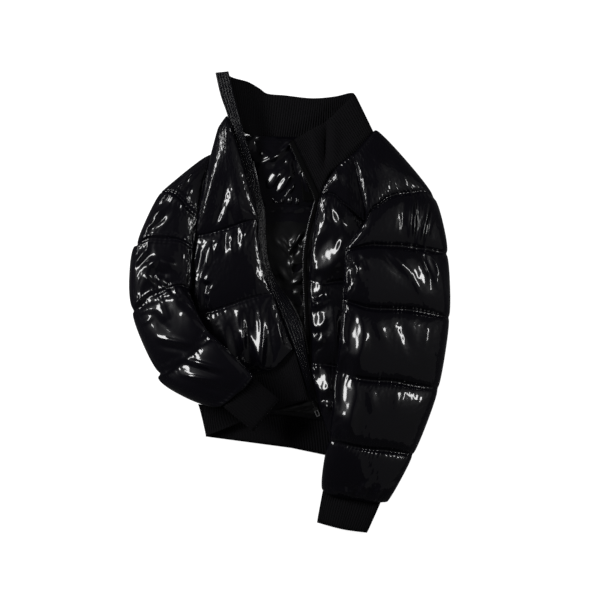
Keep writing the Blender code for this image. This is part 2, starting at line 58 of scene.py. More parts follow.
LEFT_SLEEVE = (
    Row(SEAM, ((112, 258), (149, 301)), 18, 50, 32),
    Row(PUFF, ((122, 206), (165, 230), (204, 249)), 48, 66, 34),
    Row(
        SEAM,
        ((137, 143), (146, 163), (157, 169), (171, 181), (191, 188), (218, 191), (237, 193), (253, 182)),
        38,
        68,
        28,
    ),
    Row(PUFF, ((112, 113), (187, 140), (271, 133)), 68, 72, 34),
    Row(
        SEAM,
        ((99, 88), (114, 94), (142, 99), (167, 98), (193, 97), (220, 94), (257, 88), (275, 84)),
        44,
        70,
        30,
    ),
    Row(PUFF, ((95, 45), (188, 42), (282, 29)), 78, 78, 36),
    Row(SEAM, ((94, 4), (138, -11), (180, -13), (217, -15), (279, -28)), 46, 72, 30),
    Row(PUFF, ((88, -58), (182, -73), (274, -88)), 76, 78, 36),
    Row(SEAM, ((83, -121), (110, -131), (138, -137), (180, -139), (217, -146), (260, -152)), 44, 70, 30),
    Row(PUFF, ((75, -181), (158, -199), (241, -214)), 70, 68, 34),
    Row(SEAM, ((73, -242), (115, -253), (145, -258), (171, -260), (216, -267)), 38, 50, 26),
    Row(PUFF, ((60, -286), (128, -303), (196, -312)), 56, 28, 26),
    Row(SEAM, ((60, -333), (73, -342), (115, -349), (147, -354), (170, -353)), 15, 13, 12),
)
RIGHT_SLEEVE = (
    Row(SEAM, ((-129.5, 262), (-148, 254)), 18, 16, 14),
    Row(PUFF, ((-143, 206), (-170, 214), (-197, 216)), 52, 28, 24),
    Row(SEAM, ((-156, 147), (-173, 162), (-189, 180), (-205, 193), (-221, 193)), 38, 28, 22),
    Row(PUFF, ((-163, 119), (-206, 143), (-249, 148)), 70, 32, 28),
    Row(SEAM, ((-166, 94), (-192, 108), (-219, 110), (-245, 111), (-265, 98)), 46, 30, 24),
    Row(PUFF, ((-168, 57), (-225, 64), (-280, 50)), 76, 34, 30),
    Row(SEAM, ((-170, 22), (-190, 29), (-207, 24), (-226, 16), (-248, 8), (-271, -17)), 48, 34, 26),
    Row(PUFF, ((-163, -10), (-212, -38), (-258, -70)), 75, 62, 30),
    Row(SEAM, ((-137, -55), (-158, -76), (-187, -102), (-224, -126)), 46, 74, 32),
    Row(PUFF, ((-96, -93), (-145, -133), (-191, -163)), 68, 84, 40),
    Row(SEAM, ((-60, -131), (-72, -147), (-92, -162), (-115, -182)), 26, 83, 62),
)
RIGHT_FRONT = (
    Row(SEAM, ((-123, 307), (-108, 328)), 9, 38, 41),
    Row(PUFF, ((-150, 206), (-112, 212), (-72, 214)), 44, 30, 46),
    Row(SEAM, ((-170, 113), (-140, 119), (-108, 128), (-79, 139), (-55, 147)), 22, 26, 44),
    Row(PUFF, ((-174, 47), (-112, 66), (-46, 74)), 44, 26, 44),
    Row(SEAM, ((-169, -28), (-144, -19), (-116, -11), (-79, 2), (-43, 12), (-28, 15)), 21, 26, 44),
    Row(PUFF, ((-159, -92), (-84, -72), (-8, -42)), 42, 26, 44),
    Row(SEAM, ((-150, -172), (-125, -158), (-68, -118), (-46, -121), (-22, -117), (8, -82)), 14, 24, 42),
)
LEFT_FRONT = (
    Row(SEAM, ((59, 200), (84, 238), (124, 268)), 12, 44, 42),
    Row(PUFF, ((57, 192), (98, 212), (148, 226)), 30, 43, 42),
    Row(SEAM, ((55, 184), (62, 188), (78, 189), (94, 174), (110, 161), (130, 143), (164, 128)), 21, 42, 38),
    Row(PUFF, ((42, 116), (108, 98), (184, 76)), 46, 40, 40),
    Row(SEAM, ((36, 37), (59, 31), (96, 36), (194, 36)), 20, 38, 36),
    Row(PUFF, ((38, -35), (112, -37), (194, -38)), 44, 40, 40),
    Row(SEAM, ((40, -108), (73, -112), (188, -126)), 20, 36, 34),
    Row(PUFF, ((50, -172), (112, -180), (178, -190)), 44, 36, 36),
    Row(SEAM, ((73, -234), (110, -243), (163, -250)), 13, 32, 30),
)
BACK = (
    Row(SEAM, ((-70, 286), (150, 286)), 14, 7, 7),
    Row(PUFF, ((-132, 235), (178, 228)), 26, 11, 11),
    Row(SEAM, ((-169, 162), (203, 160)), 14, 6, 6),
    Row(PUFF, ((-183, 95), (210, 95)), 26, 11, 11),
    Row(SEAM, ((-187, 30), (211, 30)), 14, 6, 6),
    Row(PUFF, ((-181, -35), (210, -35)), 26, 11, 11),
    Row(SEAM, ((-166, -100), (204, -100)), 14, 6, 6),
    Row(PUFF, ((-152, -148), (185, -165)), 24, 10, 10),
    Row(SEAM, ((-148, -190), (1, -198), (150, -222)), 12, 5, 5),
)

# A rib band or a cuff: rows from its seam to its free edge.
LEFT_CUFF = (
    Row(SEAM, ((60, -329), (73, -339), (115, -346), (147, -351), (161, -352)), 13, 10, 10),
    Row(PUFF, ((55, -354), (103, -373), (150, -378)), 16, 9.8, 9.8),
    Row(SEAM, ((49, -388), (94, -400), (137, -406)), 12, 8.2, 8.2),
)
RIGHT_CUFF = (
    Row(SEAM, ((-61, -133.5), (-72, -148), (-92, -163), (-115, -183)), 15, 80, 62),
    Row(PUFF, ((-38, -152), (-66, -180), (-90, -204)), 16, 72, 56),
    Row(SEAM, ((-17, -171), (-40, -200), (-62, -227)), 13, 62, 50),
)
BACK_RIB = (
    Row(SEAM, ((-160, -180), (1, -197), (150, -223)), 8, 5.6, 5.6),
    Row(PUFF, ((-151, -214), (1, -229), (151, -257)), 9, 6, 6),
    Row(SEAM, ((-147, -237), (2, -252), (152, -288)), 6, 4.6, 4.6),
)
RIGHT_FRONT_RIB = (
    Row(SEAM, ((-150, -173), (-125, -160), (-68, -120), (-46, -123), (-22, -119), (9, -84)), 8, 26, 42),
    Row(PUFF, ((-148, -206), (-62, -172), (23, -134)), 9, 16, 39),
    Row(SEAM, ((-146, -236), (-91, -214), (-42, -189), (-10, -177), (34, -171)), 7, 13, 36),
)
LEFT_FRONT_RIB = (
    Row(SEAM, ((73.4, -235.2), (163.4, -251.2)), 8, 32, 30),
    Row(PUFF, ((84, -252), (162, -269)), 9, 24, 24),
    Row(SEAM, ((92, -264), (160, -287)), 7, 18, 18),
)

# A band joins its p edge to its q edge.
Station = namedtuple("Station", "px py pz qx qy qz")


def table(kind, *rows):
    """The rows as named tuples of one kind."""
    return tuple(kind(*row) for row in rows)


PLACKET = table(
    Station,
    (-129, 401, 40, -106, 403, 46),
    (-120, 362, 41, -97, 366, 47),
    (-108, 327, 43, -88, 331, 48),
    (-101, 297, 45, -79, 297, 48),
    (-84, 248, 48, -65, 248, 43),
    (-68, 196, 51, -52, 196, 37),
    (-56, 157, 52, -42, 157, 34.5),
    (-53, 117, 52, -41, 117, 34.5),
    (-49, 70, 52, -36, 70, 35),
    (-36, 29, 50, -19, 29, 36),
    (-22, -2, 48, 2, -2, 39),
    (-5, -46, 48, 22, -46, 42),
    (13, -93, 45, 32, -93, 41),
    (26, -133, 42, 40, -133, 39),
    (38, -172, 38, 47, -173, 36),
)
COLLAR = table(
    Station,
    (-110, 398, 40.5, -94, 302, 41.5),
    (-96, 392, 34, -80, 299, 40),
    (-72, 386, 16, -66, 292, 32),
    (-52, 375, 8, -56, 287, 18),
    (-38, 366, 5, -44, 285.5, 10),
    (-7, 363, 4, -18, 285, 9),
    (40, 358, 4, 30, 284, 9),
    (80, 361, 5, 84, 283, 9),
    (106, 367, 9, 138, 284, 16),
    (114, 365, 18, 153, 283, 29),
    (109, 359, 27, 148, 281, 39),
    (88, 338, 34, 130, 272, 45),
    (65, 316, 40, 110, 256, 47),
    (38, 301, 44, 82, 233, 47),
    (22, 291, 46, 67, 217, 47),
    (9, 284, 47, 57, 183, 46),
)
LEFT_TAPE = table(
    Station,
    (0.5, 278.9, 47, 8.2, 283.5, 47),
    (21.5, 232, 46.5, 29.5, 235.5, 47),
    (44, 184, 44.5, 52, 187, 45),
    (43, 168, 42, 50, 168, 42),
    (33.3, 130, 40, 39.7, 130, 40),
    (26, 85, 40, 32.5, 85, 40),
    (25.6, 37, 38, 32.1, 37, 38),
    (28.5, -35, 38, 35, -35, 38),
    (30.6, -108, 32, 37.1, -108, 32),
    (36, -150, 31, 42.4, -148.5, 31),
    (41.8, -177.2, 31, 47.5, -174.8, 31),
    (44.5, -183.7, 31, 50.2, -181.3, 31),
    (52.2, -202.1, 31, 57.9, -199.7, 31),
)


def lerp(a, b, t):
    return a + (b - a) * t


def catmull_point(p0, p1, p2, p3, t):
    """The point at t, from 0 to 1, between p1 and p2."""
    square = (2 * p0 - 5 * p1 + 4 * p2 - p3) * t**2
    cube = (3 * p1 - p0 - 3 * p2 + p3) * t**3
    return 0.5 * (2 * p1 + (p2 - p0) * t + square + cube)


def catmull(points, params):
    """Points on a Catmull-Rom curve through points, at each of params from 0 to 1 by chord length."""
    p = np.asarray(points, float)
    if len(p) == 2:
        return p[0] + (p[1] - p[0]) * np.asarray(params)[:, None]
    steps = np.linalg.norm(np.diff(p[:, :2], axis=0), axis=1)
    at = np.concatenate(([0], np.cumsum(steps))) / steps.sum()
    out = []
    for s in params:
        i = int(np.clip(np.searchsorted(at, s, side="right") - 1, 0, len(p) - 2))
        t = (s - at[i]) / (at[i + 1] - at[i])
        p0, p1, p2, p3 = p[max(i - 1, 0)], p[i], p[i + 1], p[min(i + 2, len(p) - 1)]
        out.append(catmull_point(p0, p1, p2, p3, t))
    return np.array(out)


def arch(s, power=2.3):
    """0 at the two seams and 1 halfway between them, round on top and steep at the seams."""
    return (1 - abs(2 * s - 1) ** power) ** (1 / power)


def smooth_noise(x, y, z=0.0):
    return noise.noise(Vector((x, y, z)))


class Cad:
    """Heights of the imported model's nodes, in table coordinates and millimetres."""

    def __init__(self):
        graph = bpy.context.evaluated_depsgraph_get()
        self.trees = {name: BVHTree.FromObject(obj, graph) for name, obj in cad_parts.items()}

    def hit(self, name, x, y, up):
        start = Vector(((x + OFFSET[0]) * MM, (y + OFFSET[1]) * MM, -1.0 if up else 1.0))
        found = self.trees[name].ray_cast(start, Vector((0, 0, 1 if up else -1)))[0]
        return None if found is None else found.z / MM

    def bottom(self, name, x, y):
        return self.hit(name, x, y, True)

    def top(self, name, x, y):
        return self.hit(name, x, y, False)


CAD = Cad()


def new_object(name, verts, faces, material, smooth=True):
    mesh = bpy.data.meshes.new(name)
    mesh.from_pydata([tuple(v) for v in (np.asarray(verts) + OFFSET) * MM], [], faces)
    mesh.materials.append(material)
    if smooth:
        mesh.shade_smooth()
    mesh.update()
    obj = bpy.data.objects.new(name, mesh)
    bpy.context.scene.collection.objects.link(obj)
    return obj


def ring_faces(rows, count):
    """Quads between closed rows of count points each."""
    return [
        (r * count + k, r * count + (k + 1) % count, (r + 1) * count + (k + 1) % count, (r + 1) * count + k)
        for r in range(rows - 1)
        for k in range(count)
    ]


def fan_cap(verts, first, count, flip):
    """Triangles from a new middle point to a ring that starts at first."""
    middle = len(verts)
    verts.append(np.mean(verts[first : first + count], axis=0))
    faces = [(first + k, first + (k + 1) % count, middle) for k in range(count)]
    return [face[::-1] for face in faces] if flip else faces


def even_shares(width, height, count, roundness):
    """Shares across a section that are evenly spaced along its upper outline."""
    v = (1 - np.cos(np.pi * np.linspace(0, 1, 800))) / 2
    outline = np.column_stack((v * width, (1 - np.abs(2 * v - 1) ** roundness) ** (1 / roundness) * height))
    run = np.concatenate(([0], np.cumsum(np.linalg.norm(np.diff(outline, axis=0), axis=1))))
    return np.interp(np.linspace(0, run[-1], count + 1), run, v)


def rib_relief(count, per_rib, depth):
    """Depth of the knit's grooves at each of count points, with per_rib points to a rib."""
    phase = (np.arange(count) % per_rib) / per_rib
    gap = np.minimum(phase, 1 - phase)
    return -depth * np.exp(-((gap / 0.2) ** 2))


def crease_field(x, y, creases):
    """Height that the creases add at x, y. Each is a soft ridge, or a trough where its rise is negative."""
    total = np.zeros_like(x)
    for c in creases:
        dx, dy = c.x1 - c.x0, c.y1 - c.y0
        t = ((x - c.x0) * dx + (y - c.y0) * dy) / (dx * dx + dy * dy)
        inside = np.clip(t, 0, 1)
        gap = np.hypot(x - c.x0 - inside * dx, y - c.y0 - inside * dy)
        total += c.rise * np.exp(-((gap / c.width) ** 2)) * (0.25 + 0.75 * np.sin(np.pi * inside))
    return total


Crease = namedtuple("Crease", "x0 y0 x1 y1 rise width")
# A taut place: its middle, half its width and length, its turn in degrees and its slopes along x and y.
Facet = namedtuple("Facet", "x y across along turn dx dy")


def facet_field(x, y, facet):
    """How far each point belongs to the facet, and the facet's height there, with faint ripples."""
    turn = math.radians(facet.turn)
    u = (x - facet.x) * math.cos(turn) + (y - facet.y) * math.sin(turn)
    v = (y - facet.y) * math.cos(turn) - (x - facet.x) * math.sin(turn)
    near = np.exp(-(((u / facet.across) ** 2 + (v / facet.along) ** 2) ** 2))
    ripple = np.array([[smooth_noise(px / 8, py / 14, facet.x) for px, py in zip(*r)] for r in zip(x, y)])
    return near, facet.dx * (x - facet.x) + facet.dy * (y - facet.y) + 0.35 * ripple


class Pad:
    """A fine mesh of a padded or ribbed piece: rows of top columns and of fewer bottom columns."""

    def __init__(self, name, rows, columns=64, under=12, step=3.6, edge=2.0, roundness=2.5, seed=0):
        self.name, self.columns, self.under, self.seed = name, columns, under, seed
        puff = rows[1]
        width = math.dist(puff.line[0], puff.line[-1])
        shares = even_shares(width, puff.thick / 2, columns, roundness)
        low_shares = (1 - np.cos(np.pi * np.arange(under + 1) / under)) / 2
        swell = (1 - np.abs(2 * shares - 1) ** roundness) ** (1 / roundness)
        low_swell = (1 - np.abs(2 * low_shares - 1) ** roundness) ** (1 / roundness)
        rim, low_rim = np.abs(2 * shares - 1) ** 3, np.abs(2 * low_shares - 1) ** 3
        self.points, self.seam_rows, self.seam_gap, self.nearest_seam = [], [], [], []
        for i in range(0, len(rows) - 2, 2):
            lines = [catmull(rows[i + k].line, shares) for k in range(3)]
            low_lines = [catmull(rows[i + k].line, low_shares) for k in range(3)]
            length = np.linalg.norm(lines[2].mean(0) - lines[0].mean(0))
            spans = max(int(round(length / step)), 4)
            last = i + 2 == len(rows) - 1
            for n in range(spans + (1 if last else 0)):
                s = n / spans
                if n in (0, spans):
                    self.seam_rows.append(len(self.points))
                self.seam_gap.append(min(s, 1 - s) * length)
                self.nearest_seam.append(i // 2 + (1 if s > 0.5 else 0))
                round_s, soft_s = arch(s), math.sin(math.pi * s) ** 1.2 if 0 < s < 1 else 0.0
                amount, low_amount = (lerp(soft_s, round_s, r)[:, None] for r in (rim, low_rim))
                plan = lerp(lines[0], lines[2], s) + amount * (lines[1] - (lines[0] + lines[2]) / 2)
                low_plan = lerp(low_lines[0], low_lines[2], s) + low_amount * (
                    low_lines[1] - (low_lines[0] + low_lines[2]) / 2
                )
                thick, mid_a, mid_b = (
                    lerp(rows[i][k], rows[i + 2][k], s)
                    + round_s * (rows[i + 1][k] - (rows[i][k] + rows[i + 2][k]) / 2)
                    for k in (2, 3, 4)
                )
                low_mid = lerp(mid_a, mid_b, low_shares)
                low = low_mid - lerp(edge / 2, thick / 2, low_swell)
                floor = np.array([CAD.bottom(name, x, y) or 0.0 for x, y in low_plan])
                low = np.maximum(low, floor)
                high = lerp(mid_a, mid_b, shares) + lerp(edge / 2, thick / 2, swell)
                high = np.maximum(high, np.interp(shares, low_shares, low) + edge)
                top = np.column_stack((plan, high))
                bottom = np.column_stack((low_plan, low))
                self.points.append(np.vstack((top, bottom[::-1])))
        self.points = np.array(self.points)
        self.shares = shares

    @property
    def ring(self):
        return self.columns + self.under + 2

    def normals(self):
        """The outward direction at each top point."""
        top = self.points[:, : self.columns + 1]
        along = np.gradient(top, axis=0)
        across = np.gradient(top, axis=1)
        normal = np.cross(along, across)
        normal /= np.linalg.norm(normal, axis=2, keepdims=True)
        return np.where(normal[:, self.columns // 2 : self.columns // 2 + 1, 2:] < 0, -normal, normal)

    def pucker(self, height, reach, length):
        """Short folds that start at the quilting stitches and run away from them."""
        top = self.points[:, : self.columns + 1]
        normal = self.normals()
        count = len(top)
        middle = 1 - np.abs(2 * self.shares - 1) ** 6
        shift = np.zeros(top.shape[:2])
        for number, seam in enumerate(self.seam_rows):
            line = top[seam]
            run = np.concatenate(([0], np.cumsum(np.linalg.norm(np.diff(line, axis=0), axis=1))))
            wobble = np.array([smooth_noise(r / 30, number * 3.7, self.seed + 40) for r in run])
            amount = np.array([smooth_noise(r / 17, number * 5.3 + 9, self.seed + 50) for r in run])
            far = np.array([smooth_noise(r / 11, number * 2.9 + 4, self.seed + 60) for r in run])
            phase = 2 * np.pi * run / length + 5.0 * wobble
            wave = (0.5 + 0.5 * np.cos(phase)) ** 2.2 - 0.3
            for row in range(count):
                if self.nearest_seam[row] != number:
                    continue
                if row == seam:
                    shift[row] += 0.35 * wave
                    continue
                gap = self.seam_gap[row]
                fade = np.exp(-gap / (reach * (1 + 0.8 * far))) * (1 - math.exp(-((gap / 1.6) ** 2)))
                shift[row] += height * np.clip(0.75 + 0.9 * amount, 0.1, 1.6) * wave * fade
        self.points[:, : self.columns + 1] += normal * (shift * middle)[:, :, None]

    def crease(self, creases):
        """Listed creases, on the upper side."""
        top = self.points[:, : self.columns + 1]
        middle = 1 - np.abs(2 * self.shares - 1) ** 8
        rise = crease_field(top[:, :, 0], top[:, :, 1], creases) * middle[None, :]
        top[:, :, 2] += rise

    def facet(self, facets):
        """Taut, nearly flat places between the folds, each at its own slope."""
        top = self.points[:, : self.columns + 1]
        for f in facets:
            near, plane = facet_field(top[:, :, 0], top[:, :, 1], f)
            level = (near * top[:, :, 2]).sum() / near.sum()
            top[:, :, 2] += near * (level + plane - top[:, :, 2])

    def streaks(self, height, width, length, base, gain, spots):
        """Long soft folds from quilting line to quilting line, uneven, and deeper in the crumpled spots."""
        top = self.points[:, : self.columns + 1]
        normal = self.normals()
        middle = 1 - np.abs(2 * self.shares - 1) ** 8
        across = np.linalg.norm(top[:, -1] - top[:, 0], axis=1).mean() * self.shares
        steps = np.linalg.norm(np.diff(top[:, self.columns // 2], axis=0), axis=1)
        down = np.concatenate(([0], np.cumsum(steps)))
        shift = np.zeros(top.shape[:2])
        for row, v in enumerate(down):
            fade = 1 - math.exp(-((self.seam_gap[row] / 5.0) ** 2))
            for k, u in enumerate(across):
                x, y = top[row, k, 0], top[row, k, 1]
                lean = u + 16 * smooth_noise(u / 60, v / 55, self.seed + 70)
                value = smooth_noise(lean / width, v / length, self.seed + 80)
                patch = base + gain * max(smooth_noise(x / 42, y / 42, self.seed + 90), 0.0)
                for spot in spots:
                    patch += spot.amount * math.exp(-((x - spot.x) ** 2 + (y - spot.y) ** 2) / spot.reach**2)
                shift[row, k] = patch * fade * ((1 - min(abs(value) / 0.3, 1.0)) ** 1.4 - 0.3)
        self.points[:, : self.columns + 1] += normal * (height * shift * middle)[:, :, None]

    def read_back(self):
        """Takes the swollen shape of the mesh as the piece's points."""
        count = self.points.shape[0] * self.ring
        coords = np.empty(len(self.obj.data.vertices) * 3)
        self.obj.data.vertices.foreach_get("co", coords)
        here = coords.reshape(-1, 3)[:count] / MM - OFFSET
        self.points = here.reshape(self.points.shape)

    def write_back(self):
        coords = np.empty(len(self.obj.data.vertices) * 3)
        self.obj.data.vertices.foreach_get("co", coords)
        coords = coords.reshape(-1, 3)
        coords[: self.points.shape[0] * self.ring] = (self.points.reshape(-1, 3) + OFFSET) * MM
        self.obj.data.vertices.foreach_set("co", coords.ravel())
        self.obj.data.update()

    def rib(self, per_rib, depth):
        """Ribs that run along the piece, cut into its top."""
        relief = rib_relief(self.columns + 1, per_rib, depth)
        self.points[:, : self.columns + 1] += self.normals() * relief[None, :, None]

    def hollow(self):
        """The rings of the flattened hollow, one for each row."""
        height, share = 3.0, 0.9
        rings = []
        for row in self.points:
            top, bottom = row[: self.columns + 1], row[self.columns + 1 :][::-1]
            centre = (top[0] + top[-1]) / 2
            spots = np.linspace(0, 1, self.columns + 1)
            low_spots = np.linspace(0, 1, self.under + 1)
            low = np.array([np.interp(spots, low_spots, bottom[:, k]) for k in range(3)]).T
            middle = (top + low) / 2
            upper = centre + (middle - centre) * share + (0, 0, height / 2)
            above = top[np.linspace(0, self.columns, self.under + 1).astype(int)]
            lower = centre + ((bottom + above) / 2 - centre)
            lower = centre + (lower - centre) * share - (0, 0, height / 2)
            rings.append(np.vstack((upper, lower[::-1])))
        return np.array(rings)

    def make(self, material, tube=False):
        rows, ring = len(self.points), self.ring
        verts = list(self.points.reshape(-1, 3))
        faces = [face[::-1] for face in ring_faces(rows, ring)]
        if tube:
            first = len(verts)
            verts += list(self.hollow().reshape(-1, 3))
            faces += [tuple(v + first for v in face) for face in ring_faces(rows, ring)]
            for row, flip in ((0, False), (rows - 1, True)):
                for k in range(ring):
                    j = (k + 1) % ring
                    face = (row * ring + k, row * ring + j, first + row * ring + j, first + row * ring + k)
                    faces.append(face[::-1] if flip else face)
        else:
            faces += fan_cap(verts, 0, ring, False)
            faces += fan_cap(verts, (rows - 1) * ring, ring, True)
        self.obj = new_object(self.name + "_cloth", verts, faces, material)
        return self.obj

    def pins(self):
        """1 for each point that the quilting or the underside holds, else 0."""
        hold = np.zeros((len(self.points), self.ring))
        hold[:, self.columns + 1 :] = 1
        hold[self.seam_rows] = 1
        hold[0] = hold[-1] = 1
        return hold

    def excess(self, base, seam_extra, seam_reach):
        """Share of the largest excess of cloth at each point, more by the seams."""
        gap = np.array(self.seam_gap)[:, None]
        patch = np.array(
            [
                [0.6 + 0.9 * smooth_noise(px / 34, py / 34, self.seed) for px, py, _ in row]
                for row in self.points
            ]
        )
        share = base + seam_extra * np.exp(-gap / seam_reach) * patch
        return np.clip(share, 0, 1)


class Band:
    """A fine mesh of a strip of cloth between its p edge and its q edge."""

    def __init__(self, stations, spacing, across, wall, relief=None, back_relief=None, creases=()):
        middles = np.array([(np.array(s[:3]) + np.array(s[3:])) / 2 for s in stations])
        length = np.linalg.norm(np.diff(middles, axis=0), axis=1).sum()
        count = max(int(round(length / spacing)), 2)
        curve = catmull_six(stations, count)
        even = np.linspace(0, 1, across + 1)
        shares = (1 - np.cos(np.pi * even)) / 2 * 0.35 + even * 0.65
        p, q = curve[:, None, :3], curve[:, None, 3:]
        grid = p + (q - p) * shares[None, :, None]
        grid[:, :, 2] += crease_field(grid[:, :, 0], grid[:, :, 1], creases)
        along, crosswise = np.gradient(grid, axis=0), np.gradient(grid, axis=1)
        normal = np.cross(crosswise, along)
        normal = normal / np.linalg.norm(normal, axis=2, keepdims=True)
        if normal[:, :, 2].mean() < 0 and not back_relief:
            normal = -normal
        half = wall / 2 * np.sqrt(np.clip(1 - np.abs(2 * shares - 1) ** 10, 0.02, 1))[None, :, None]
        run = np.linspace(0, length, count + 1)[:, None]
        face = relief(run, shares[None, :])[:, :, None] if relief else 0.0
        back = back_relief(run, shares[None, :])[:, :, None] if back_relief else 0.0
        self.top = grid + normal * (half + face)
        self.bottom = grid - normal * (half + back)

    def make(self, name, material):
        rings = np.concatenate((self.top, self.bottom[:, ::-1]), axis=1)
        rows, ring = rings.shape[:2]
        verts = list(rings.reshape(-1, 3))
        faces = ring_faces(rows, ring)
        half = ring // 2
        for row, flip in ((0, True), (rows - 1, False)):
            for k in range(half - 1):
                face = tuple(row * ring + i for i in (k, k + 1, ring - 2 - k, ring - 1 - k))
                faces.append(face if flip else face[::-1])
        return new_object(name, verts, faces, material)


def catmull_six(stations, count):
    """count + 1 rows of six numbers on a Catmull-Rom curve through the stations, evenly spaced along it."""
    rows = np.array(stations, float)
    fine = []
    for i in range(len(rows) - 1):
        p0, p1, p2, p3 = rows[max(i - 1, 0)], rows[i], rows[i + 1], rows[min(i + 2, len(rows) - 1)]
        for t in np.linspace(0, 1, 24, endpoint=False):
            fine.append(catmull_point(p0, p1, p2, p3, t))
    fine = np.array([*fine, rows[-1]])
    middle = (fine[:, :3] + fine[:, 3:]) / 2
    run = np.concatenate(([0], np.cumsum(np.linalg.norm(np.diff(middle, axis=0), axis=1))))
    at = np.linspace(0, run[-1], count + 1)
    return np.array([np.interp(at, run, fine[:, k]) for k in range(6)]).T


def laid_sheet(name, node, start, end, spacing, wall, material, relief=None, hem=None, hem_line=0):
    """A thin sheet between two lines in plan, laid on a CAD node, with relief(x, y) added to its height."""
    width = math.dist(start[0], start[-1])
    length = math.dist(np.mean(start, axis=0), np.mean(end, axis=0))
    columns, rows = int(width / spacing), int(length / spacing)
    shares = np.linspace(0, 1, columns + 1)
    first, last = catmull(start, shares), catmull(end, shares)
    plan = np.array([lerp(first, last, r / rows) for r in range(rows + 1)])
    height = np.full(plan.shape[:2], np.nan)
    for r in range(rows + 1):
        for k in range(columns + 1):
            found = CAD.top(node, *plan[r, k])
            height[r, k] = np.nan if found is None else found
    height = np.where(np.isnan(height), np.nanmean(height), height)
    height = blurred(height, max(int(9 / spacing), 1)) + 0.4
    if hem:
        height = lerp(height, hem(plan[:, :, 0]), np.clip((plan[:, :, 1] - hem_line) / 8, 0, 1))
    if relief:
        height = height + relief(plan[:, :, 0], plan[:, :, 1])
    top = np.concatenate((plan, height[:, :, None]), axis=2)
    bottom = top - (0, 0, wall)
    rings = np.concatenate((top, bottom[:, ::-1]), axis=1)
    ring = rings.shape[1]
    faces = [face[::-1] for face in ring_faces(rows + 1, ring)]
    for row, flip in ((0, False), (rows, True)):
        for k in range(columns):
            face = tuple(row * ring + i for i in (k, k + 1, ring - 2 - k, ring - 1 - k))
            faces.append(face[::-1] if flip else face)
    return new_object(name, list(rings.reshape(-1, 3)), faces, material)


def blurred(field, reach):
    """The field averaged over reach points each way, twice."""
    for _ in range(2):
        for axis in (0, 1):
            pad = [(0, 0), (0, 0)]
            pad[axis] = (reach, reach)
            wide = np.pad(field, pad, mode="edge")
            total = np.cumsum(wide, axis=axis)
            total = np.insert(total, 0, 0, axis=axis)
            size = 2 * reach + 1
            if axis == 0:
                field = (total[size:] - total[:-size]) / size
            else:
                field = (total[:, size:] - total[:, :-size]) / size
    return field


EXCESS_CLOTH = 0.14  # the most that the simulated cloth grows by
PRESSURE = 12.0
FRAMES = 24
FARTHEST = 10.0  # millimetres that a point may move
JITTER = 0.2  # millimetres of unevenness that starts the puckers


def inflate(pad, excess):
    """Blender's cloth swells the pad between its seams, and its excess cloth puckers. The result is kept."""
    obj = pad.obj
    mesh = obj.data
    count = len(mesh.vertices)
    rng = np.random.default_rng(pad.seed)
    start = np.empty(count * 3)
    mesh.vertices.foreach_get("co", start)
    start = start.reshape(-1, 3)
    hold = np.ones(count)
    hold[: pad.points.shape[0] * pad.ring] = pad.pins().ravel()
    share = np.zeros(count)
    share[: pad.points.shape[0] * pad.ring] = excess.ravel()
    moved = start.copy()
    free = hold < 0.5
    moved[free] += rng.normal(0, JITTER * MM, (int(free.sum()), 3))
    mesh.vertices.foreach_set("co", moved.ravel())
    for label, values in (("hold", hold), ("excess", share)):
        group = obj.vertex_groups.new(name=label)
        levels = np.round(values * 40) / 40
        for level in np.unique(levels):
            if level > 0:
                group.add([int(i) for i in np.nonzero(levels == level)[0]], float(level), "REPLACE")
    modifier = obj.modifiers.new("Cloth", "CLOTH")
    cloth = modifier.settings
    cloth.quality = 4
    cloth.mass = 0.05
    cloth.air_damping = 2.0
    cloth.tension_stiffness = cloth.compression_stiffness = 12
    cloth.shear_stiffness = 4
    cloth.bending_stiffness = 0.02
    cloth.tension_damping = cloth.compression_damping = 4
    cloth.shear_damping = 4
    cloth.bending_damping = 0.5
    cloth.vertex_group_mass = "hold"
    cloth.pin_stiffness = 1
    cloth.use_pressure = True
    cloth.uniform_pressure_force = PRESSURE
    cloth.vertex_group_shrink = "excess"
    cloth.shrink_min = 0.0
    cloth.shrink_max = -EXCESS_CLOTH
    cloth.effector_weights.gravity = 0
    modifier.collision_settings.use_collision = False
    modifier.point_cache.frame_end = FRAMES
    scene = bpy.context.scene
    for number in range(1, FRAMES + 1):
        scene.frame_set(number)
    graph = bpy.context.evaluated_depsgraph_get()
    result = np.empty(count * 3)
    obj.evaluated_get(graph).data.vertices.foreach_get("co", result)
    obj.modifiers.remove(modifier)
    scene.frame_set(1)
    result = result.reshape(-1, 3)
    move = result - start
    far = np.linalg.norm(move, axis=1, keepdims=True)
    limit = FARTHEST * MM
    move *= limit * np.tanh(far / limit) / np.maximum(far, 1e-9)
    move[~free] = 0
    rows = pad.points.shape[0]
    keep = np.ones((rows, pad.ring))
    keep[:, : pad.columns + 1] = 0.7 - 0.65 * np.abs(2 * pad.shares - 1) ** 5
    move[: rows * pad.ring, :2] *= keep.reshape(-1, 1)
    mesh.vertices.foreach_set("co", (start + move).ravel())
    mesh.update()


def subdivide(obj):
    modifier = obj.modifiers.new("Subdivision", "SUBSURF")
    modifier.levels = modifier.render_levels = 1


def plain_material(name, colour, roughness, coat=0.0, metallic=0.0, specular=0.5):
    material = bpy.data.materials.new(name)
    material.use_nodes = True
    shader = material.node_tree.nodes["Principled BSDF"]
    shader.inputs["Base Color"].default_value = (*colour, 1)
    shader.inputs["Roughness"].default_value = roughness
    shader.inputs["Metallic"].default_value = metallic
    shader.inputs["Specular IOR Level"].default_value = specular
    shader.inputs["IOR"].default_value = 1.45
    shader.inputs["Coat Weight"].default_value = coat
    shader.inputs["Coat Roughness"].default_value = 0.07
    shader.inputs["Coat IOR"].default_value = 1.3
    return material


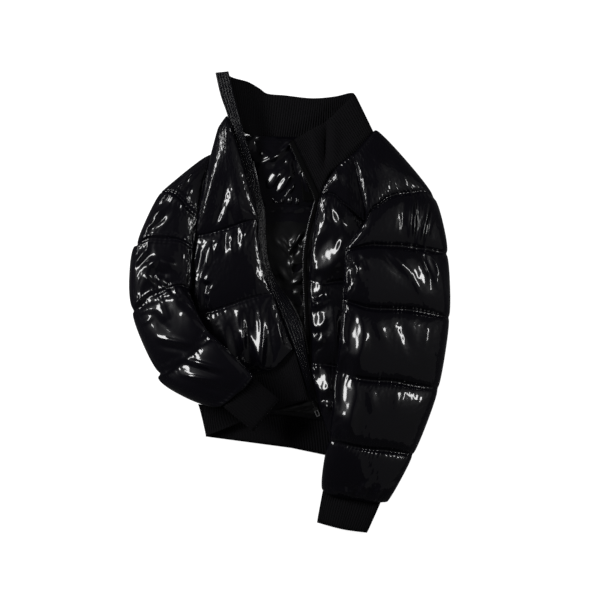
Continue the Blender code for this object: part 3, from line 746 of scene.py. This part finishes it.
def crinkled(material, size, stretch, height):
    """Fine wrinkles of thin cloth, size metres across and longer by stretch along y, as a bump."""
    tree = material.node_tree
    shader = tree.nodes["Principled BSDF"]
    place = tree.nodes.new("ShaderNodeTexCoord")
    scale = tree.nodes.new("ShaderNodeMapping")
    scale.inputs["Scale"].default_value = (1 / size, 1 / (size * stretch), 1 / size)
    field = tree.nodes.new("ShaderNodeTexNoise")
    field.inputs["Scale"].default_value = 1.0
    field.inputs["Detail"].default_value = 2.0
    field.inputs["Roughness"].default_value = 0.55
    field.inputs["Distortion"].default_value = 0.6
    bump = tree.nodes.new("ShaderNodeBump")
    bump.inputs["Strength"].default_value = 1.0
    bump.inputs["Distance"].default_value = height
    tree.links.new(place.outputs["Object"], scale.inputs["Vector"])
    tree.links.new(scale.outputs["Vector"], field.inputs["Vector"])
    tree.links.new(field.outputs["Fac"], bump.inputs["Height"])
    tree.links.new(bump.outputs["Normal"], shader.inputs["Normal"])
    tree.links.new(bump.outputs["Normal"], shader.inputs["Coat Normal"])


def area_light(name, at, target, size, energy):
    data = bpy.data.lights.new(name, "AREA")
    data.shape = "RECTANGLE"
    data.size, data.size_y = size
    data.energy = energy
    obj = bpy.data.objects.new(name, data)
    obj.location = at
    obj.rotation_euler = (Vector(target) - Vector(at)).to_track_quat("-Z", "Y").to_euler()
    bpy.context.scene.collection.objects.link(obj)


LENS, SENSOR = 250, 36  # millimetres
VIEW_MIDDLE = (19.25, 3.06)  # millimetres, in the tables' coordinates
VIEW_WIDTH = 1.05  # metres across the picture, at a height of VIEW_LEVEL
VIEW_LEVEL = 0.04


def build_stage():
    """The floor, the lights and the camera, which looks straight down."""
    world = bpy.data.worlds.new("studio")
    bpy.context.scene.world = world
    world.use_nodes = True
    background = world.node_tree.nodes["Background"]
    background.inputs["Color"].default_value = (1, 1, 1, 1)
    background.inputs["Strength"].default_value = 0.06
    area_light("key", (-1.3, 0.5, 1.0), (0, 0, 0), (1.0, 0.25), 32)
    area_light("side", (1.2, 0.3, 1.0), (0, 0, 0), (0.55, 0.12), 9)
    # Four lights of growing width, so that the fill's reflection ends softly.
    for width in (1.5, 2.1, 2.7, 3.3):
        area_light("fill", (1.5, -0.9, 1.5), (0.1, -0.9, 0), (5.0, width), 2.3 * width)
    bpy.context.scene.view_settings.view_transform = "Standard"
    camera_data = bpy.data.cameras.new("camera")
    camera_data.lens = LENS
    camera_data.clip_end = 100
    camera_data.sensor_width = SENSOR
    camera = bpy.data.objects.new("camera", camera_data)
    middle = (VIEW_MIDDLE[0] * MM + OFFSET[0] * MM, VIEW_MIDDLE[1] * MM + OFFSET[1] * MM)
    camera.location = (middle[0], middle[1], VIEW_LEVEL + VIEW_WIDTH / 2 / (SENSOR / 2 / LENS))
    bpy.context.scene.collection.objects.link(camera)
    bpy.context.scene.camera = camera
    floor_mesh = bpy.data.meshes.new("floor")
    floor_mesh.from_pydata([(-4, -4, 0), (4, -4, 0), (4, 4, 0), (-4, 4, 0)], [], [(0, 1, 2, 3)])
    paper = plain_material("floor_paper", (0.3, 0.3, 0.3), 0.9, specular=0.0)
    shader = paper.node_tree.nodes["Principled BSDF"]
    shader.inputs["Emission Color"].default_value = (1, 1, 1, 1)
    shader.inputs["Emission Strength"].default_value = 0.95
    floor_mesh.materials.append(paper)
    floor = bpy.data.objects.new("floor", floor_mesh)
    bpy.context.scene.collection.objects.link(floor)
    floor.visible_glossy = False


# Listed creases: from x0, y0 to x1, y1, each a soft ridge of that rise, or a trough where it is
# negative.
RIGHT_FRONT_CREASES = table(
    Crease,
    (-126, 250, -163, 128, 7.0, 13),
    (-106, 215, -122, 150, -4.5, 9),
    (-103, 166, -95, 136, -3.0, 5),
    (-92, 190, -80, 150, 2.5, 7),
    (-119, 160, -131, 133, -3.0, 5),
    (-121, 116, -131, 82, 2.6, 4.5),
    (-110, 119, -114, 78, -2.8, 4),
    (-101, 122, -99, 84, 2.6, 4.5),
    (-90, 126, -91, 88, -2.2, 4),
    (-80, 128, -80, 90, 2.4, 4.5),
    (-166, 104, -176, 50, 5.0, 7),
    (-138, 98, -147, 60, 4.5, 5),
    (-152, 96, -160, 50, -4.0, 6),
    (-152, 42, -136, 34, 3.5, 4),
    (-150, 28, -134, 31, -3.5, 4),
    (-150, 18, -138, 8, 3.0, 4),
    (-146, 44, -148, -10, -5.0, 6),
    (-62, 60, -56, 30, 2.5, 6),
    (-58, -14, -48, -108, 7.5, 8),
    (-74, -18, -68, -100, -5.0, 6),
    (-86, -16, -78, -78, 5.5, 5),
    (-38, -20, -28, -100, -4.0, 6),
    (-22, -30, -10, -86, 3.5, 5),
    (-101, -36, -90, -96, -3.5, 6),
    (-116, -40, -104, -100, 3.0, 6),
    (-136, -60, -122, -126, 3.0, 6),
)
LEFT_FRONT_CREASES = table(
    Crease,
    (96, 52, 116, 114, 8.0, 20),
    (54, 90, 72, 72, 4.0, 6),
    (86, 112, 74, 84, -4.0, 5),
    (92, 104, 80, 78, 3.5, 4),
    (40, 60, 66, 52, 4.0, 6),
    (38, 24, 66, 34, 7.0, 8),
    (38, 8, 58, 14, -4.5, 6),
    (38, -8, 66, 4, 6.0, 7),
    (40, -22, 56, -14, -4.5, 6),
    (40, -40, 66, -28, 6.0, 8),
    (41, -56, 56, -52, -4.5, 6),
    (42, -74, 64, -64, 5.0, 7),
    (76, -6, 84, -90, 5.0, 9),
    (44, -116, 64, -126, 6.0, 7),
    (46, -134, 60, -142, -5.0, 6),
    (50, -146, 74, -152, 7.0, 8),
    (56, -166, 66, -174, -4.5, 6),
    (58, -180, 76, -188, 6.0, 7),
    (84, 158, 98, 126, 5.0, 7),
    (70, 168, 78, 140, -4.0, 6),
    (62, 160, 64, 138, 3.0, 6),
    (78, 234, 92, 206, 3.5, 7),
)
LEFT_SLEEVE_CREASES = table(
    Crease,
    (167, 96, 212, 48, 4.0, 7),
    (212, 48, 240, 0, 3.5, 7),
    (156, 92, 200, 42, -3.5, 7),
    (216, 190, 212, 110, 4.0, 4),
    (228, 188, 224, 96, 4.5, 4),
    (222, 186, 218, 98, -3.5, 3.5),
    (238, 180, 228, 112, 4.0, 4),
    (250, 160, 238, 100, 4.0, 4.5),
    (244, 170, 232, 104, -3.5, 4),
    (236, 92, 262, 56, 6.0, 6),
    (226, 88, 250, 44, -4.5, 5),
    (200, 186, 198, 120, -3.0, 6),
    (252, 78, 262, 20, 4.0, 6),
    (240, 84, 248, 24, -3.5, 6),
    (266, 60, 272, 0, 3.0, 5),
    (110, 80, 124, 40, 4.5, 6),
    (102, 60, 112, 20, -3.5, 5),
    (122, 90, 140, 62, 3.0, 5),
    (118, -20, 128, -70, 3.0, 5),
    (112, -18, 124, -52, -3.0, 5),
    (96, -50, 106, -100, 3.5, 6),
    (150, -20, 168, -80, 2.5, 9),
    (190, -25, 214, -90, -2.5, 9),
    (246, -30, 236, -100, 2.5, 8),
    (108, -140, 116, -200, -2.5, 5),
    (140, -150, 150, -200, 2.5, 8),
    (190, -150, 186, -205, 2.5, 8),
    (120, -270, 132, -310, 2.5, 7),
    (124, -332, 137, -316, 5.0, 6),
    (78, -328, 108, -338, 4.0, 5),
    (96, -322, 118, -326, -3.0, 4),
    (150, -338, 166, -322, 4.0, 5),
    (110, -342, 124, -322, -2.5, 4),
    (128, -344, 136, -326, 2.5, 4),
    (148, 262, 170, 226, 3.0, 8),
    (130, 240, 150, 196, -3.0, 8),
    (196, 238, 208, 200, 3.0, 7),
)
RIGHT_SLEEVE_CREASES = table(
    Crease,
    (-247, 142, -214, 168, 3.5, 5),
    (-240, 130, -212, 152, -3.5, 5),
    (-254, 126, -224, 148, 2.5, 4),
    (-188, 200, -172, 226, 3.5, 5),
    (-196, 206, -184, 222, -3.0, 4),
    (-180, 178, -170, 200, 3.0, 4),
    (-276, 62, -247, 94, 4.0, 5),
    (-264, 60, -240, 84, -3.5, 5),
    (-249, 62, -226, 73, 6.0, 7),
    (-226, 73, -196, 62, 6.0, 7),
    (-240, 50, -206, 48, -5.0, 6),
    (-252, 46, -234, 28, 4.0, 4),
    (-240, 46, -224, 24, -4.0, 4),
    (-229, 44, -214, 18, 4.0, 4),
    (-216, 40, -204, 16, -3.5, 4),
    (-212, 18, -158, -42, 6.0, 12),
    (-264, -22, -206, 6, 4.0, 9),
    (-228, -6, -214, -34, 5.0, 12),
    (-188, 8, -178, -20, -5.0, 12),
    (-271, -7, -250, 7, 2.5, 4),
    (-268, -24, -246, -10, 2.5, 4),
    (-262, -40, -238, -28, 2.5, 4),
    (-240, -20, -206, -54, -3.5, 9),
    (-229, -63, -171, -74, 5.0, 4.5),
    (-224, -76, -176, -86, -3.5, 5),
    (-183, -99, -117, -118, 5.0, 4),
    (-180, -110, -120, -128, -3.5, 4),
    (-187, -127, -129, -137, 4.5, 4),
    (-150, -146, -108, -158, -3.5, 6),
)
LEFT_FRONT_FACETS = table(
    Facet,
    (68, 84, 23, 30, -6, 0.47, -0.2),
    (47, 22, 11, 13, 0, 0.48, -0.2),
    (50, -32, 12, 15, 10, 0.48, -0.2),
    (58, -136, 12, 28, 8, 0.48, -0.18),
)
LEFT_SLEEVE_FACETS = table(
    Facet,
    (116, -62, 19, 42, 4, 0.5, -0.2),
    (100, -164, 19, 58, 4, 0.5, -0.2),
    (247, 66, 8, 24, 24, -0.4, -0.1),
)
RIGHT_FRONT_FACETS = table(
    Facet,
    (-55, -62, 11, 48, 5, 0.47, -0.2),
    (-82, -48, 4.5, 28, 5, 0.47, -0.2),
    (-172, 77, 5.5, 28, -14, 0.47, -0.18),
    (-141, 82, 4, 17, -10, 0.47, -0.18),
)
YOKE_FACETS = table(Facet, (-31, 212, 9, 19, -38, 0.44, -0.2), (-13, 203, 8, 20, -36, 0.46, -0.2))
# Where the cloth is crumpled: x, y, reach and how much more of it there is.
Spot = namedtuple("Spot", "x y reach amount")
LEFT_SLEEVE_SPOTS = table(
    Spot,
    (112, 60, 20, 0.7),
    (100, 25, 16, 0.6),
    (106, -35, 16, 0.5),
    (96, -80, 16, 0.6),
    (224, 140, 24, 0.5),
    (92, -150, 16, 0.5),
    (140, -262, 24, 0.4),
)
RIGHT_SLEEVE_SPOTS = table(
    Spot,
    (-235, 34, 22, 0.8),
    (-184, 205, 20, 0.6),
    (-250, 85, 16, 0.4),
)
RIGHT_FRONT_SPOTS = (Spot(-145, 34, 16, 0.8), Spot(-60, -60, 40, 0.25), Spot(-110, 100, 22, 0.3))
LEFT_FRONT_SPOTS = (Spot(50, 10, 20, 0.9), Spot(50, -50, 20, 0.9), Spot(60, -140, 24, 0.9))
YOKE_CREASES = table(
    Crease,
    (-46, 242, -14, 262, 6.0, 5),
    (-14, 262, 6, 281, 5.5, 4.5),
    (-30, 236, -4, 250, -5.0, 6),
    (-18, 182, 5, 214, -7.0, 5),
    (-10, 180, 11, 210, 6.0, 5),
    (-44, 202, -34, 182, -5.0, 8),
    (10, 240, 24, 190, -5.0, 7),
    (22, 230, 34, 190, 7.0, 8),
    (-29, 185, -21, 168, 4.5, 3.5),
    (-11, 185, -15, 168, 4.5, 3.5),
    (3, 185, 0, 168, 4.5, 3.5),
    (15, 185, 14, 168, 4.0, 3.5),
    (-52, 264, -30, 254, 5.0, 6),
)
LOWER_LINING_CREASES = table(
    Crease,
    (4, 78, 29, 119, -6.0, 4.5),
    (-3, 84, 22, 125, 5.0, 5),
    (-18, 108, 3, 80, 5.5, 5),
    (-9, 114, 10, 88, -3.0, 4),
    (2, 76, 5, 45, 5.0, 4),
    (5, 31, 28, 42, 6.0, 5),
    (3, 54, 24, 63, -5.0, 5),
    (6, 14, 27, 20, 4.0, 5),
    (8, 2, 26, -8, -3.5, 5),
    (8, 102, 34, 92, 4.5, 6),
    (-22, 62, -4, 38, 3.0, 5),
    (12, -32, 30, -20, 3.5, 5),
    (-26, -192, 42, -177, 6.0, 5),
    (-12, -199, 46, -187, -3.0, 3.5),
)
BAND_CREASES = (Crease(-24, 152, 26, 163, 3.0, 3.5), Crease(-30, 158, 4, 150, -2.5, 4))
COLLAR_CREASES = table(
    Crease,
    (65, 314, 61, 236, -7.5, 5),
    (80, 312, 76, 240, 4.0, 9),
    (42, 304, 50, 236, 3.0, 8),
)

PLACKET_CHANNELS = 5
STITCH_PITCH = 5.4
RIB_PERIOD = 4.2


def placket_relief(run, share):
    """Four rows of stitches with puckers across them, in millimetres above the strip."""
    channel = share * PLACKET_CHANNELS
    valley = np.abs(np.sin(np.pi * channel)) ** 0.85
    row = np.round(channel)
    ripple = np.sin(2 * np.pi * run / STITCH_PITCH + 2.1 * row + 2.2 * np.sin(run / 19.0 + row))
    patch = 0.55 + 0.45 * np.sin(run / 23.0 + 1.7 * row)
    near = np.exp(-(((channel - row) / 0.3) ** 2))
    return 1.9 * valley + 0.4 * ripple * patch * near - 0.9


def collar_relief(depth):
    """The grooves between the knit's ribs, which run across the collar."""

    def relief(run, share):
        phase = (run / RIB_PERIOD) % 1.0
        gap = np.minimum(phase, 1 - phase)
        return -depth * np.exp(-((gap / 0.2) ** 2)) * np.ones_like(share)

    return relief


def teeth(name, stations, edge, pitch, size, material):
    """The zip's teeth along one edge of a tape: small blocks with a chamfered head."""
    count = int(catmull_length(stations) / pitch)
    curve = catmull_six(stations, count)
    verts, faces = [], []
    for k in range(1, count):
        p, q = curve[k, :3], curve[k, 3:]
        near, far = (p, q) if edge == "p" else (q, p)
        inward = (far - near) / np.linalg.norm(far - near)
        ahead = curve[k + 1] - curve[k - 1]
        ahead = ahead[:3] if edge == "p" else ahead[3:]
        ahead = ahead / np.linalg.norm(ahead)
        up = np.cross(inward, ahead)
        up = up / np.linalg.norm(up)
        up = up if up[2] > 0 else -up
        first = len(verts)
        for reach, wide, tall in ((-0.55, 0.32, 0.3), (-0.3, 0.5, 0.5), (0.5, 0.42, 0.5)):
            centre = near + inward * reach * size[0]
            for a, b in ((-1, -1), (1, -1), (1, 1), (-1, 1)):
                verts.append(centre + ahead * a * wide * size[1] + up * b * tall * size[2])
        for layer in (0, 4):
            for a in range(4):
                b = (a + 1) % 4
                faces.append(tuple(first + layer + i for i in (a, b, 4 + b, 4 + a)))
        faces.append(tuple(first + i for i in (3, 2, 1, 0)))
        faces.append(tuple(first + 8 + i for i in (0, 1, 2, 3)))
    return new_object(name, verts, faces, material, smooth=False)


def catmull_length(stations):
    middles = np.array([(np.array(s[:3]) + np.array(s[3:])) / 2 for s in stations])
    return np.linalg.norm(np.diff(middles, axis=0), axis=1).sum()


def shifted(stations, start, end, drop):
    """A band beside the q edge of another, from start to end millimetres beyond it and drop below it."""
    made = []
    for s in stations:
        p, q = np.array(s[:3]), np.array(s[3:])
        out = (q - p) / np.linalg.norm(q - p)
        down = np.cross(out, np.array((out[1], -out[0], 0.0)))
        down = down / np.linalg.norm(down)
        down = -down if down[2] > 0 else down
        made.append(Station(*(q + down * drop + out * start), *(q + down * drop + out * end)))
    return made


FACET_RISE = 4.5


def relief_of(creases, crumple, size, seed, facets=()):
    """Listed creases over a faint crumple of the cloth."""

    def relief(x, y):
        ridges = [[abs(smooth_noise(px / size, py / size, seed)) for px, py in zip(*r)] for r in zip(x, y)]
        noisy = 1 - 2 * np.array(ridges)
        height = crease_field(x, y, creases) + crumple * noisy
        for f in facets:
            near, plane = facet_field(x, y, f)
            height = height + near * (FACET_RISE + plane - height)
        return height

    return relief


def finish_padded(obj, node):
    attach(obj, BODY)
    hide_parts(node)


def finish_sheet(obj, node):
    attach(obj, BODY)
    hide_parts(node)


def main():
    build_stage()
    shell = plain_material("wet_look_nylon", (0.0014, 0.0012, 0.0024), 0.36, coat=1.0, specular=0.07)
    crinkled(shell, 0.02, 4.0, 0.0001)
    strip = plain_material("wet_look_nylon_plain", (0.0016, 0.0015, 0.0026), 0.36, coat=0.4, specular=0.05)
    rib = plain_material("rib_knit_black", (0.0026, 0.0024, 0.003), 0.9, specular=0.1)
    satin = plain_material("satin_lining_black", (0.002, 0.002, 0.0023), 0.36, coat=0.6, specular=0.2)
    tape = plain_material("woven_tape_black", (0.0012, 0.0012, 0.0013), 0.8, specular=0.05)
    metal = plain_material("dark_nickel", (0.045, 0.045, 0.046), 0.35, metallic=1.0)
    bright_metal = plain_material("nickel", (0.55, 0.55, 0.56), 0.22, metallic=1.0)
    enamel = plain_material("black_enamel", (0.004, 0.004, 0.004), 0.4, specular=0.3)

    for name, rows, creases, spots, facets, folds, options in (
        (
            "left_sleeve",
            LEFT_SLEEVE,
            LEFT_SLEEVE_CREASES,
            LEFT_SLEEVE_SPOTS,
            LEFT_SLEEVE_FACETS,
            (2.4, 12, 55, 0.03, 0.3),
            dict(columns=96, seed=3),
        ),
        (
            "right_sleeve",
            RIGHT_SLEEVE,
            RIGHT_SLEEVE_CREASES,
            RIGHT_SLEEVE_SPOTS,
            (),
            (2.4, 10, 50, 0.05, 0.3),
            dict(columns=80, seed=5, step=3.2),
        ),
        (
            "right_front_panel",
            RIGHT_FRONT,
            RIGHT_FRONT_CREASES,
            RIGHT_FRONT_SPOTS,
            RIGHT_FRONT_FACETS,
            (2.4, 11, 60, 0.03, 0.15),
            dict(columns=72, seed=7, edge=4, step=3),
        ),
        (
            "left_front_panel",
            LEFT_FRONT,
            LEFT_FRONT_CREASES,
            LEFT_FRONT_SPOTS,
            LEFT_FRONT_FACETS,
            (1.6, 11, 45, 0.04, 0.15),
            dict(columns=72, seed=9, edge=4, step=3),
        ),
        ("back_panel", BACK, (), (), (), (), dict(columns=72, seed=11, edge=4, step=5)),
    ):
        pad = Pad(name, rows, **options)
        obj = pad.make(shell)
        if name != "back_panel":
            inflate(pad, pad.excess(0.02, 0.6, 9))
            pad.read_back()
        pad.crease(creases)
        if name != "back_panel":
            pad.streaks(*folds, spots)
            pad.facet(facets)
        pad.pucker(3.4 if name.startswith("left") else 2.2, 5.0, 7.0)
        pad.write_back()
        subdivide(obj)
        finish_padded(obj, name)

    for name, rows, columns, tube, flat in (
        ("left_cuff", LEFT_CUFF, 162, True, (0.225, 0.06)),
        ("right_cuff", RIGHT_CUFF, 108, True, (0.145, 0.062)),
        ("back_hem_rib", BACK_RIB, 426, False, (0.31, 0.055)),
        ("right_front_hem_rib", RIGHT_FRONT_RIB, 258, False, (0.19, 0.08)),
        ("left_front_hem_rib", LEFT_FRONT_RIB, 132, False, (0.09, 0.035)),
    ):
        pad = Pad(name, rows, columns=columns, under=16, step=5, edge=2)
        pad.rib(6, 1.0)
        obj = pad.make(rib, tube)
        finish_sheet(obj, name)

    ribs = collar_relief(1.3)
    collar = Band(COLLAR, 0.7, 14, 3.6, ribs, ribs, COLLAR_CREASES).make("collar_cloth", rib)
    finish_sheet(collar, "collar")
    placket = Band(PLACKET, 0.9, 40, 1.2, placket_relief).make("placket_cloth", strip)
    finish_sheet(placket, "right_placket")
    left_tape = Band(LEFT_TAPE, 3, 6, 0.9).make("left_tape_cloth", tape)
    finish_sheet(left_tape, "left_zip_tape")
    right_stations = shifted(PLACKET[4:13], -4.0, 3.0, 3.0)
    right_tape = Band(right_stations, 3, 6, 0.9).make("right_tape_cloth", tape)
    finish_sheet(right_tape, "right_zip_tape")
    for name, stations, edge in (("left_teeth", LEFT_TAPE, "p"), ("right_teeth", right_stations, "q")):
        row = teeth(name, stations, edge, 3.2, (2.4, 1.9, 1.6), metal)
        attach(row, BODY)

    yoke = laid_sheet(
        "yoke_cloth",
        "yoke_lining",
        ((-90, 301), (-66, 297), (-42, 291), (112, 288)),
        ((-62, 177), (30, 169), (110, 168)),
        2,
        1.2,
        shell,
        relief_of(YOKE_CREASES, 0.9, 22, 1, YOKE_FACETS),
        hem=lambda x: np.interp(x, (-86, -66, -50, -30), (38, 28, 16, 12)),
        hem_line=282,
    )
    finish_sheet(yoke, "yoke_lining")
    band = laid_sheet(
        "band_cloth",
        "lining_band",
        ((-54, 174), (112, 166.5)),
        ((-66, 149.5), (112, 149.5)),
        2,
        1.0,
        shell,
        relief_of(BAND_CREASES, 0.8, 15, 2),
    )
    finish_sheet(band, "lining_band")
    lower = laid_sheet(
        "lower_lining_cloth",
        "lower_lining",
        ((-70, 148), (112, 148)),
        ((-78, -186), (100, -202)),
        2.5,
        1.0,
        satin,
        relief_of(LOWER_LINING_CREASES, 1.2, 26, 3),
    )
    finish_sheet(lower, "lower_lining")
    facing = laid_sheet(
        "facing_cloth", "left_front_facing", ((18, 256), (70, 256)), ((24, 176), (70, 176)), 3, 1.2, tape
    )
    finish_sheet(facing, "left_front_facing")

    for name in ("zip_slider", "zip_box", "zip_pull_loop"):
        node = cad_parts[name]
        node.data.materials.clear()
        node.data.materials.append(bright_metal if name == "zip_pull_loop" else enamel)


main()
